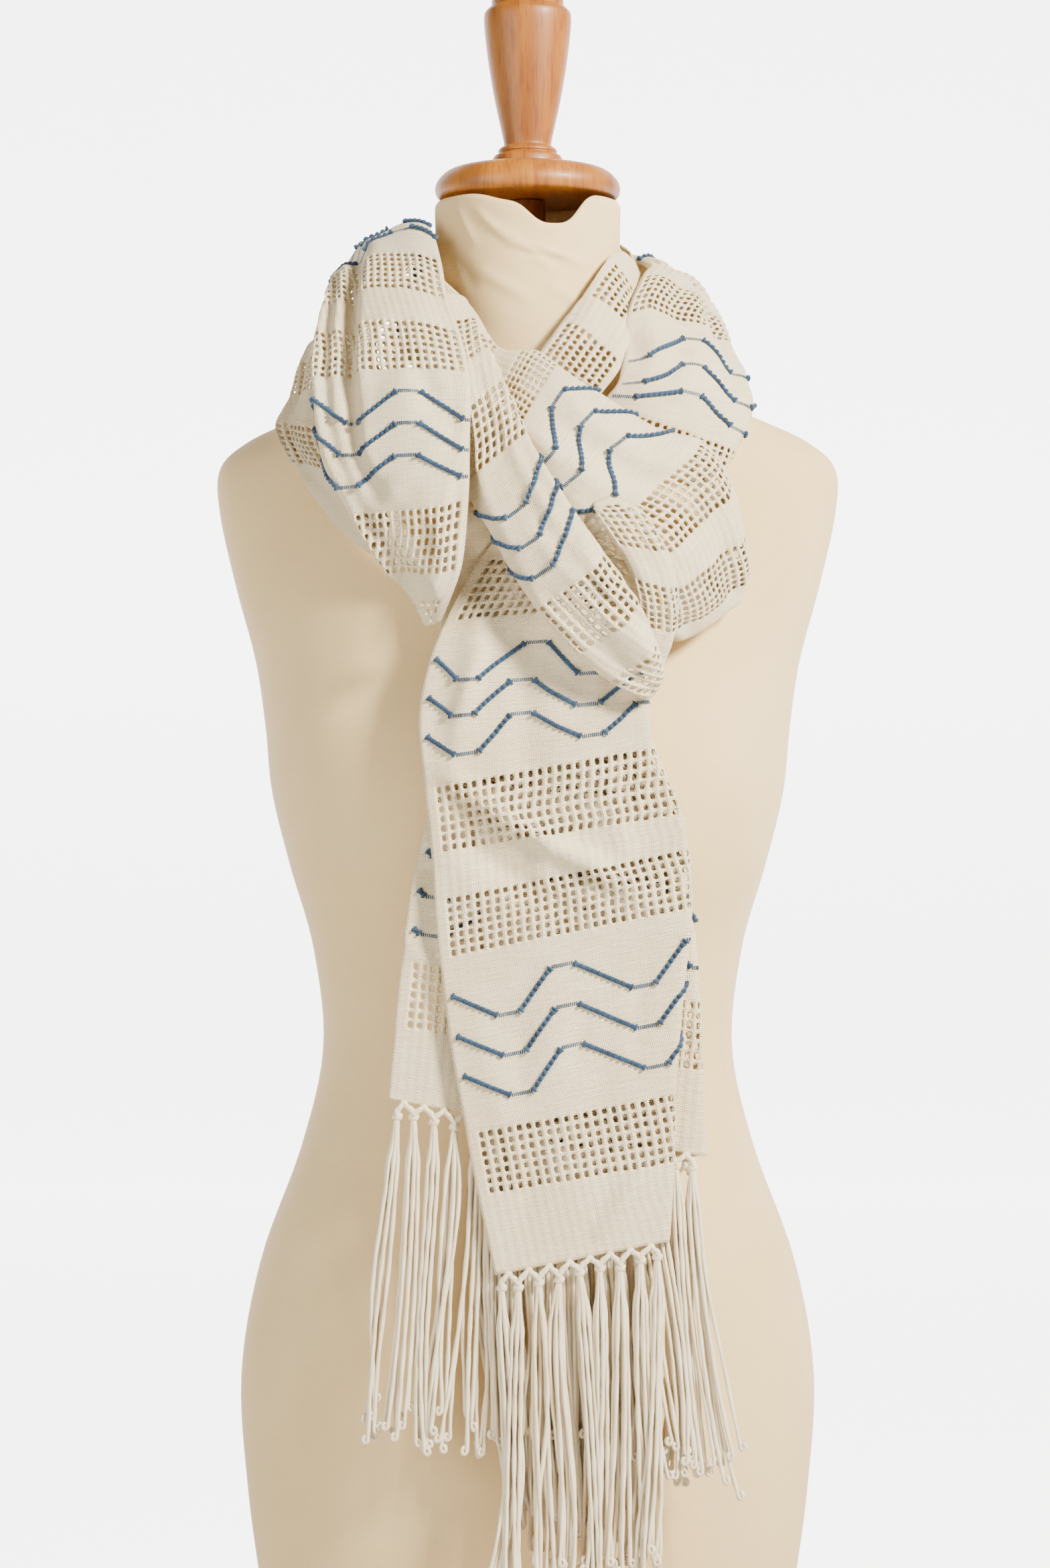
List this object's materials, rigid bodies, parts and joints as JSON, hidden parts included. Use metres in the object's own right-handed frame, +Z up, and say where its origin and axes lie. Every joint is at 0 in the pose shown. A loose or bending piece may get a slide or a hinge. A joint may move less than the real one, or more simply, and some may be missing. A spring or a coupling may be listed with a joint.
{
  "type": "shawl on a dress form",
  "caption": "Cotton shawl with knotted fringes, wound round the neck of a limbless dress form on a turned wooden stand.",
  "frame": {"origin": "middle of the underside of the stand's round base", "axes": "+Z up along the stand, the form and its neck; -Y is the front, where the two tails hang; +X is the viewer's right"},
  "size_m": [0.42, 0.42, 1.129],
  "materials": {
    "cotton": "handwoven, unbleached",
    "jersey": "fine knit, cream",
    "wood": "turned and varnished, honey brown"
  },
  "bodies": {
    "root": {"outer_left": "cotton", "outer_back": "cotton", "outer_right": "cotton", "shoulder_left": "cotton", "inner_back": "cotton", "inner_right": "cotton", "loop_centre": "cotton", "cross_band": "cotton", "loop_end": "cotton", "front_tail": "cotton", "back_tail": "cotton", "fringe_front": "cotton", "fringe_front_under": "cotton", "fringe_back": "cotton", "fringe_back_under": "cotton", "form_torso": "jersey", "neck_post": "wood", "neck_cap": "wood", "handle": "wood", "stand_pole": "wood", "stand_base": "wood"}
  },
  "joints": []
}
